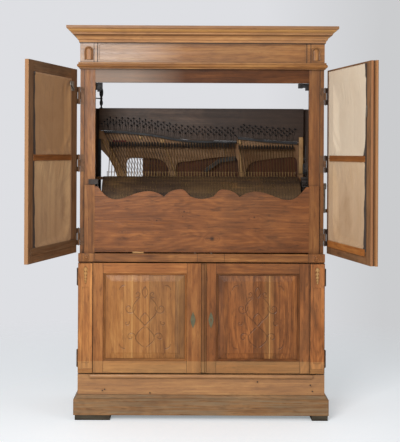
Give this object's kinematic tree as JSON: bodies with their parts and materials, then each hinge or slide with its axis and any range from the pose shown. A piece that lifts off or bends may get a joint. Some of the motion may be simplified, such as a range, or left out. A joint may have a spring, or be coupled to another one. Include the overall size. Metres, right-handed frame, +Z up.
{
  "type": "barrel piano",
  "caption": "Street barrel piano in a tall oak case, open cloth-backed upper doors over a harp, hammers and pinned barrel, with a cupboard below and a side crank.",
  "frame": {"origin": "on the floor, under the middle of the case, at the middle bearer's underside", "axes": "+X to the right seen from the front, +Y to the back, +Z up"},
  "size_m": [1.8519, 1.3195, 2.311],
  "materials": {
    "oak": "satin varnished oak",
    "oak_inner": "satin varnished oak",
    "oak_plinth": "dull greyed oak",
    "foot_wood": "dull dark stain",
    "pinblock_wood": "dull dark wood",
    "spruce": "satin varnished spruce",
    "beech": "plain beech",
    "barrel_wood": "satin dark wood",
    "bronzed_iron": "bronze paint on cast iron",
    "black_iron": "black",
    "steel": "dull steel",
    "brass": "aged brass",
    "grip_wood": "polished by hand",
    "door_cloth": "loose woven cloth"
  },
  "bodies": {
    "case": {"lower_sides": "oak", "floor_board": "oak", "lower_back_panel": "oak", "middle_shelf": "oak", "waist_rail": "oak", "upper_sides": "oak", "corner_posts": "oak", "upper_rail": "oak", "frieze_board": "oak", "astragal_moulding": "oak", "cornice": "oak", "roof_board": "oak", "scalloped_board": "oak", "board_stiles": "oak", "base_rail": "oak", "plinth": "oak_plinth", "feet": "foot_wood", "pinblock": "pinblock_wood", "soundboard": "spruce", "bridges": "beech", "back_frame": "beech", "hammer_rail": "beech", "iron_plate": "bronzed_iron", "pressure_bars": "black_iron", "barrel_bearings": "black_iron", "gear_bracket": "black_iron", "corner_brackets": "black_iron", "handle_plates": "black_iron", "tuning_pins": "steel", "strings": "steel", "case_hinge_leaves": "steel"},
    "upper_left_door": {"upper_door_left": "oak_inner", "door_cloth_left": "door_cloth", "hinge_leaves_upper_left": "steel"},
    "upper_right_door": {"upper_door_right": "oak_inner", "door_cloth_right": "door_cloth", "hinge_leaves_upper_right": "steel"},
    "lower_left_door": {"lower_door_left": "oak", "lower_panel_left": "oak", "escutcheon_left": "brass", "hinge_leaves_lower_left": "steel"},
    "lower_right_door": {"lower_door_right": "oak", "lower_panel_right": "oak", "escutcheon_right": "brass", "hinge_leaves_lower_right": "steel"},
    "left_bail": {"handle_bail_left": "black_iron"},
    "right_bail": {"handle_bail_right": "black_iron"},
    "bass_hammers": {"hammers_bass": "beech"},
    "tenor_hammers": {"hammers_tenor": "beech"},
    "treble_hammers": {"hammers_treble": "beech"},
    "shift_carriage": {"shift_yoke": "black_iron"},
    "barrel": {"barrel_cylinder": "barrel_wood", "barrel_arbor": "steel", "barrel_wheel": "black_iron"},
    "shift_lever": {"shift_lever": "black_iron"},
    "intermediate_gear": {"intermediate_gear": "steel"},
    "crank": {"crank_shaft": "steel", "crank_arm": "black_iron"},
    "crank_grip": {"crank_grip": "grip_wood"},
    "stop_rod": {"stop_rod": "black_iron"}
  },
  "joints": [
    {"name": "upper_left_hinge", "type": "hinge", "parent": "case", "child": "upper_left_door", "pos_m": [-0.728, -0.297, 1.518], "axis": [0, 0, -1], "range_deg": [-104.5, 75.5]},
    {"name": "upper_right_hinge", "type": "hinge", "parent": "case", "child": "upper_right_door", "pos_m": [0.728, -0.297, 1.518], "axis": [0, 0, 1], "range_deg": [-101, 62.5]},
    {"name": "lower_left_hinge", "type": "hinge", "parent": "case", "child": "lower_left_door", "pos_m": [-0.7315, -0.3005, 0.596], "axis": [0, 0, -1], "range_deg": [0, 110]},
    {"name": "lower_right_hinge", "type": "hinge", "parent": "case", "child": "lower_right_door", "pos_m": [0.7315, -0.3005, 0.596], "axis": [0, 0, 1], "range_deg": [0, 110]},
    {"name": "left_bail_swing", "type": "hinge", "parent": "case", "child": "left_bail", "pos_m": [-0.738, 0, 0.64], "axis": [0, 1, 0], "range_deg": [-4, 180]},
    {"name": "right_bail_swing", "type": "hinge", "parent": "case", "child": "right_bail", "pos_m": [0.738, 0, 0.64], "axis": [0, -1, 0], "range_deg": [-4, 180]},
    {"name": "bass_hammer_swing", "type": "hinge", "parent": "case", "child": "bass_hammers", "pos_m": [0, 0.0243, 1.4483], "axis": [-1, 0, 0], "range_deg": [-6, 6.2], "stiffness_Nm_per_rad": 20},
    {"name": "tenor_hammer_swing", "type": "hinge", "parent": "case", "child": "tenor_hammers", "pos_m": [0, 0.0243, 1.4483], "axis": [-1, 0, 0], "range_deg": [-6, 6.2], "stiffness_Nm_per_rad": 20},
    {"name": "treble_hammer_swing", "type": "hinge", "parent": "case", "child": "treble_hammers", "pos_m": [0, 0.0243, 1.4483], "axis": [-1, 0, 0], "range_deg": [-6, 6.2], "stiffness_Nm_per_rad": 20},
    {"name": "barrel_shift", "type": "slide", "parent": "case", "child": "shift_carriage", "axis": [1, 0, 0], "range_m": [-0.007, 0.007]},
    {"name": "barrel_spin", "type": "hinge", "parent": "shift_carriage", "child": "barrel", "pos_m": [0, -0.078, 1.229], "axis": [1, 0, 0], "continuous": true},
    {"name": "shift_lever_swing", "type": "hinge", "parent": "case", "child": "shift_lever", "pos_m": [-0.619, -0.2635, 1.312], "axis": [0, -1, 0], "range_deg": [-4.9, 4.9]},
    {"name": "intermediate_spin", "type": "hinge", "parent": "case", "child": "intermediate_gear", "pos_m": [0.65, -0.17, 1.3941], "axis": [1, 0, 0], "continuous": true},
    {"name": "crank_spin", "type": "hinge", "parent": "case", "child": "crank", "pos_m": [0.7, -0.08984, 1.36898], "axis": [1, 0, 0], "continuous": true},
    {"name": "grip_spin", "type": "hinge", "parent": "crank", "child": "crank_grip", "pos_m": [0.81, -0.08984, 1.21898], "axis": [1, 0, 0], "continuous": true},
    {"name": "stop_rod_lift", "type": "slide", "parent": "case", "child": "stop_rod", "axis": [0, 0, 1], "range_m": [0, 0.012]}
  ],
  "couplings": [
    {"joint": "shift_lever_swing", "follows": "barrel_shift", "rad_per_m": 12.048},
    {"joint": "intermediate_spin", "follows": "barrel_spin", "ratio": -6},
    {"joint": "crank_spin", "follows": "barrel_spin", "ratio": 36}
  ]
}
